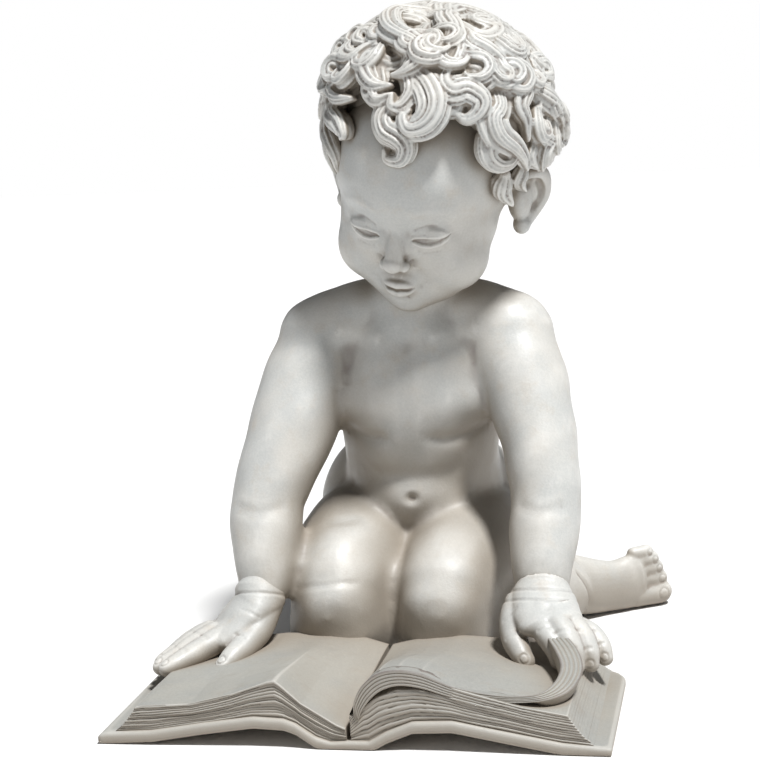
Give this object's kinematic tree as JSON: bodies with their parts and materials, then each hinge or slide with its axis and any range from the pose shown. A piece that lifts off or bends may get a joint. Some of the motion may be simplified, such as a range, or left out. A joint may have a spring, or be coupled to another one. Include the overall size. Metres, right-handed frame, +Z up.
{
  "type": "stone statue of a kneeling child with a book",
  "caption": "Garden or interior statue of a curly-haired small child kneeling and leaning over an open book, cut from one stone.",
  "frame": {"origin": "centre of the bounding box at the ground the statue rests on", "axes": "+Z up, the child looks toward -Y over the book, +X to the right of a viewer in front"},
  "size_m": [0.3602, 0.4106, 0.4781],
  "materials": {
    "stone": "satin"
  },
  "bodies": {
    "root": {"cherub_statue": "stone"}
  },
  "joints": []
}
